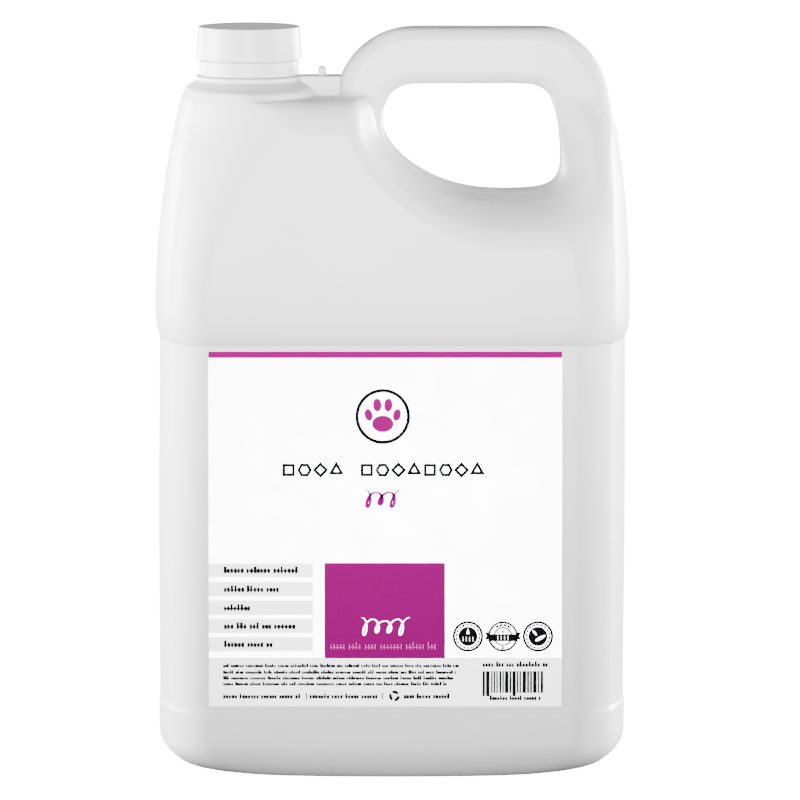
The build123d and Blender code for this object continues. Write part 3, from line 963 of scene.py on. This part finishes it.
def draw_footer(black, grey):
    """The grey foot of the label: fine print, loop mark and barcode, all wordless."""
    grey.box(0.0, 120.8, LABEL_SIDE, LABEL_SIDE)
    for k, (v, end) in enumerate(((124.6, 99.7), (127.2, 98.5), (129.5, 96.9), (131.8, 94.5))):
        black.ticks(5.5, end, v, 1.6, 70 + k, layer=1, pitch=0.55, width=0.46)
    for k, (start, end) in enumerate(((5.5, 36.0), (39.9, 66.8), (77.3, 95.7))):
        black.ticks(start, end, 137.0, 2.2, 80 + k, layer=1)
    for u in (38.4, 68.6):
        black.box(u, 134.6, u + 0.5, 137.3, layer=1)
    for k in range(3):
        black.ring(73.6, 135.9, 2.2, 1.0, layer=1, start=120 * k, end=120 * k + 90, steps=8)
    black.ticks(108.6, 134.3, 124.4, 2.2, 90, layer=1)
    rng = random.Random(7)
    u = 108.6
    while u < 133.1:
        width = rng.choice((0.65, 0.8, 1.0, 1.4))
        guard = u < 110.0 or 120.4 < u < 121.8 or u > 132.0
        black.box(u, 126.0, u + width, 136.0 if guard else 134.7, layer=1)
        u += width + rng.choice((0.38, 0.38, 0.6))
    black.ticks(111.4, 132.0, 137.6, 2.0, 95, layer=1)


def print_label(finishes):
    """All the artwork, one piece for each colour."""
    inks = {name: Ink() for name in ("black", "magenta", "grey", "white", "pink")}
    black, magenta, grey, white, pink = inks.values()
    magenta.box(0.0, 0.0, LABEL_SIDE, 2.5)
    draw_emblem(black, magenta)
    draw_titles(black, magenta)
    draw_claims(black, grey)
    draw_block(magenta, white, pink)
    draw_icons(black, white, grey)
    draw_footer(black, grey)
    for name, ink in inks.items():
        ink.build("ink_" + name, finishes[name])


# ---------------- materials

# Roughness ranges, and bumps as noise per metre and height in millimetres
FILM_GLOSS, INK_MATT = (0.12, 0.16), (0.5, 0.6)
FILM_BUMPS, INK_BUMPS = ((60.0, 0.02), (2500.0, 0.0003)), ((2500.0, 0.002),)
GLOSS_GRAIN = 2.3  # how much finer the gloss varies than the colour
SEAM_HALF_WIDTH, SEAM_RISE = 0.35, 0.09

# Print: dark and light colour, grain per metre, roughness range, bumps and specular level
PRINTS = {
    "black": ((0.002, 0.002, 0.0022), (0.005, 0.005, 0.0055), 400.0, INK_MATT, INK_BUMPS, 0.0),
    "magenta": ((0.225, 0.0, 0.125), (0.24, 0.0, 0.135), 300.0, INK_MATT, INK_BUMPS, 0.0),
    "grey": ((0.80, 0.80, 0.81), (0.82, 0.82, 0.83), 300.0, FILM_GLOSS, FILM_BUMPS, 0.26),
    "white": ((0.95, 0.95, 0.95), (0.97, 0.97, 0.97), 300.0, FILM_GLOSS, FILM_BUMPS, 1.0),
    "pink": ((0.93, 0.13, 0.56), (0.95, 0.15, 0.58), 300.0, (0.4, 0.5), INK_BUMPS, 0.05),
}


class Nodes:
    """A node tree, with short calls for adding and joining nodes."""

    def __init__(self, tree):
        self.tree = tree

    def add(self, kind, **settings):
        """Adds a node and sets its attributes."""
        node = self.tree.nodes.new(kind)
        for key, value in settings.items():
            setattr(node, key, value)
        return node

    def link(self, output, socket):
        """Joins an output to an input."""
        self.tree.links.new(output, socket)

    def math(self, operation, a, b=0.0, clamp=False):
        """A math node on sockets or numbers."""
        node = self.add("ShaderNodeMath", operation=operation, use_clamp=clamp)
        for socket, value in zip(node.inputs, (a, b)):
            if isinstance(value, (int, float)):
                socket.default_value = value
            else:
                self.link(value, socket)
        return node.outputs[0]

    def noise(self, vector, scale):
        """Noise of a size given per metre."""
        node = self.add("ShaderNodeTexNoise")
        node.inputs["Scale"].default_value = scale
        self.link(vector, node.inputs["Vector"])
        return node.outputs["Fac"]

    def ramp(self, value, low, high):
        """Two colours mixed by a value."""
        node = self.add("ShaderNodeMix", data_type="RGBA")
        self.link(value, node.inputs["Factor"])
        node.inputs["A"].default_value = (*low, 1.0)
        node.inputs["B"].default_value = (*high, 1.0)
        return node.outputs["Result"]

    def spread(self, value, low, high):
        """A value from 0 to 1 spread over a range."""
        node = self.add("ShaderNodeMapRange")
        self.link(value, node.inputs["Value"])
        node.inputs["To Min"].default_value = low
        node.inputs["To Max"].default_value = high
        return node.outputs["Result"]


def plastic(name, dark, light, grain, roughness, bumps, seam=False, soft=0.0, specular=0.5):
    """A plastic or ink: mottled colour, uneven gloss and a fine bump."""
    material = bpy.data.materials.new(name)
    material.use_nodes = True
    n = Nodes(material.node_tree)
    shader = material.node_tree.nodes["Principled BSDF"]
    place = n.add("ShaderNodeTexCoord").outputs["Object"]
    n.link(n.ramp(n.noise(place, grain), dark, light), shader.inputs["Base Color"])
    gloss = n.spread(n.noise(place, grain * GLOSS_GRAIN), *roughness)
    n.link(gloss, shader.inputs["Roughness"])
    shader.inputs["Specular IOR Level"].default_value = specular
    shader.inputs["Subsurface Weight"].default_value = soft
    shader.inputs["Subsurface Radius"].default_value = (1.0, 0.95, 0.9)
    shader.inputs["Subsurface Scale"].default_value = 0.002
    height = 0.0
    for scale, size in bumps:
        height = n.math("ADD", height, n.math("MULTIPLY", n.noise(place, scale), size * MM))
    if seam:
        height = n.math("ADD", height, parting_line(n, place))
    bump = n.add("ShaderNodeBump")
    bump.inputs["Distance"].default_value = 1.0
    n.link(height, bump.inputs["Height"])
    n.link(bump.outputs["Normal"], shader.inputs["Normal"])
    return material


def parting_line(n, place):
    """The mould's parting line: a low ridge on the plane Y = 0."""
    split = n.add("ShaderNodeSeparateXYZ")
    n.link(place, split.inputs["Vector"])
    away = n.math("DIVIDE", n.math("ABSOLUTE", split.outputs["Y"]), SEAM_HALF_WIDTH * MM)
    ridge = n.math("SUBTRACT", 1.0, away, clamp=True)
    return n.math("MULTIPLY", ridge, SEAM_RISE * MM)


def make_materials():
    """Every finish in the scene."""
    finishes = {
        "bottle": plastic(
            "hdpe_white", (0.80, 0.80, 0.805), (0.83, 0.83, 0.835), 14.0, (0.34, 0.46),
            ((22.0, 0.08), (900.0, 0.012), (3800.0, 0.004)), seam=True, soft=0.12,
        ),
        "closure": plastic(
            "closure_white", (0.83, 0.83, 0.835), (0.86, 0.86, 0.865), 60.0, (0.32, 0.42),
            ((700.0, 0.010), (4000.0, 0.003)), soft=0.08,
        ),
        "liner": plastic(
            "liner_foam", (0.80, 0.79, 0.76), (0.88, 0.87, 0.84), 900.0, (0.6, 0.8),
            ((1800.0, 0.05),),
        ),
        "label": plastic(
            "label_film", (0.95, 0.95, 0.95), (0.97, 0.97, 0.97), 40.0, FILM_GLOSS,
            FILM_BUMPS, specular=1.0,
        ),
    }
    for name, (dark, light, grain, gloss, bumps, specular) in PRINTS.items():
        print_name = "print_" + name
        finishes[name] = plastic(print_name, dark, light, grain, gloss, bumps, specular=specular)
    return finishes


# The CAD nodes that keep their shapes, and the finish of each
NODE_FINISH = {
    "screw_cap": "closure", "tamper_band": "closure", "cap_liner": "liner",
    "front_label": "label",
}


def finish_nodes(finishes):
    """Gives the CAD nodes their materials."""
    for name, slot in NODE_FINISH.items():
        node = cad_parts[name]
        node.data.materials.clear()
        node.data.materials.append(finishes[slot])


# ---------------- light and camera

BACKDROP, AMBIENT = 20.0, 0.02  # what the camera sees behind the jug, and what lights it
LENS, SENSOR, FARTHEST = 396.7, 36.0, 50.0
CAMERA_PLACE, CAMERA_AIM = (0.0030, -3.5, 0.576), (0.0030, 0.0, 0.14596)

# Name, place, aim, width and height, power in watts, spread in degrees
SOFTBOXES = [
    ("left_box", (-1.1, -0.05, 0.31), (0.0, 0.0, 0.2), (0.7, 0.42), 14.7, 80),
    ("right_box", (1.1, -0.05, 0.31), (0.0, 0.0, 0.2), (0.7, 0.42), 7.5, 80),
    ("front_grid", (0.0, -1.3, 0.42), (0.0, 0.0, 0.26), (0.4, 0.3), 1.0, 24),
    ("back_left", (-2.0, 2.0, 0.3), (0.0, 0.0, 0.15), (0.8, 0.6), 120.0, 180),
    ("back_right", (2.0, 2.0, 0.3), (0.0, 0.0, 0.15), (0.8, 0.6), 250.0, 180),
    ("label_card", (0.0, -10.0, -1.28), (0.0, 0.0, 0.1), (0.97, 0.97), 600.0, 180),
]


def surround():
    """White to the camera; to the jug, a dim light from all round."""
    world = bpy.data.worlds.new("studio")
    bpy.context.scene.world = world
    world.use_nodes = True
    n = Nodes(world.node_tree)
    world.node_tree.nodes.clear()
    studio = n.add("ShaderNodeBackground")
    studio.inputs["Strength"].default_value = AMBIENT
    plain = n.add("ShaderNodeBackground")
    plain.inputs["Color"].default_value = (1.0, 1.0, 1.0, 1.0)
    plain.inputs["Strength"].default_value = BACKDROP
    rays = n.add("ShaderNodeLightPath").outputs["Is Camera Ray"]
    mix = n.add("ShaderNodeMixShader")
    n.link(rays, mix.inputs["Fac"])
    n.link(studio.outputs["Background"], mix.inputs[1])
    n.link(plain.outputs["Background"], mix.inputs[2])
    out = n.add("ShaderNodeOutputWorld")
    n.link(mix.outputs["Shader"], out.inputs["Surface"])


def softbox(name, place, aim, size, power, spread):
    """An area light aimed at a point, unseen by the camera."""
    data = bpy.data.lights.new(name, "AREA")
    data.shape = "RECTANGLE"
    data.size, data.size_y = size
    data.energy = power
    data.spread = math.radians(spread)
    obj = bpy.data.objects.new(name, data)
    obj.location = place
    obj.rotation_euler = look(place, aim)
    obj.visible_camera = False
    bpy.context.scene.collection.objects.link(obj)


def look(place, aim):
    """Rotation that points a camera or light from one place to another."""
    way = [b - a for a, b in zip(place, aim)]
    flat = math.hypot(way[0], way[1])
    return (math.pi / 2 + math.atan2(way[2], flat), 0.0, math.atan2(-way[0], way[1]))


def set_camera():
    """A long lens, a little above the cap."""
    data = bpy.data.cameras.new("camera")
    data.sensor_width = SENSOR
    data.lens = LENS
    data.clip_end = FARTHEST
    obj = bpy.data.objects.new("camera", data)
    obj.location = CAMERA_PLACE
    obj.rotation_euler = look(obj.location, CAMERA_AIM)
    bpy.context.scene.collection.objects.link(obj)
    bpy.context.scene.camera = obj


# ---------------- the scene

materials = make_materials()
bottle = build_bottle(GRID_STEP)
bottle.data.materials.append(materials["bottle"])
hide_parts("bottle")
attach(bottle, "bottle")
finish_nodes(materials)
print_label(materials)
surround()
for box in SOFTBOXES:
    softbox(*box)
set_camera()
